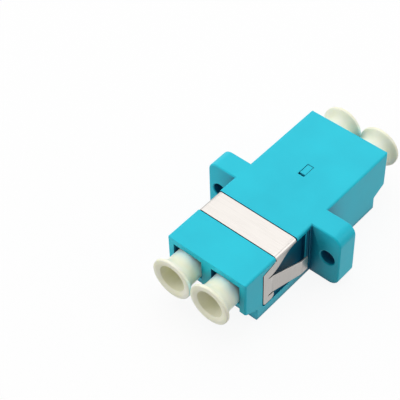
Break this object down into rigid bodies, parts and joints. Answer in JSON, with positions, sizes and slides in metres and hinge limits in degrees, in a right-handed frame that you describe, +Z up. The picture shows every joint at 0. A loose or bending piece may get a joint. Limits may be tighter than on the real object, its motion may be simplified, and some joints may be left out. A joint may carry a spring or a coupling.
{
  "type": "lc fibre adapter",
  "caption": "Flanged duplex adapter that joins LC fibre plugs end to end, with a spring clip for its panel and pull-off dust caps in its ports.",
  "frame": {"origin": "middle of the face that it rests on, half way between the dust caps' rims", "axes": "+Y along the ports towards the rear end, +X across the two ports, +Z up from the slotted face; the clip's end faces -Y"},
  "size_m": [0.022, 0.0362, 0.0092],
  "materials": {
    "aqua_moulding": "injection-moulded aqua plastic, satin",
    "spring_steel": "cold-rolled stainless spring strip",
    "zirconia": "ground zirconia",
    "cap_moulding": "soft translucent ivory plastic"
  },
  "bodies": {
    "adapter": {"housing": "aqua_moulding", "sleeve_retainer": "aqua_moulding", "panel_clip": "spring_steel", "alignment_sleeve_left": "zirconia", "alignment_sleeve_right": "zirconia"},
    "dust_cap_front_left": {"dust_cap_front_left": "cap_moulding"},
    "dust_cap_front_right": {"dust_cap_front_right": "cap_moulding"},
    "dust_cap_rear_left": {"dust_cap_rear_left": "cap_moulding"},
    "dust_cap_rear_right": {"dust_cap_rear_right": "cap_moulding"}
  },
  "joints": [
    {"name": "dust_cap_front_left_pull", "type": "slide", "parent": "adapter", "child": "dust_cap_front_left", "axis": [0, -1, 0], "range_m": [0, 0.016]},
    {"name": "dust_cap_front_right_pull", "type": "slide", "parent": "adapter", "child": "dust_cap_front_right", "axis": [0, -1, 0], "range_m": [0, 0.016]},
    {"name": "dust_cap_rear_left_pull", "type": "slide", "parent": "adapter", "child": "dust_cap_rear_left", "axis": [0, 1, 0], "range_m": [0, 0.016]},
    {"name": "dust_cap_rear_right_pull", "type": "slide", "parent": "adapter", "child": "dust_cap_rear_right", "axis": [0, 1, 0], "range_m": [0, 0.016]}
  ]
}
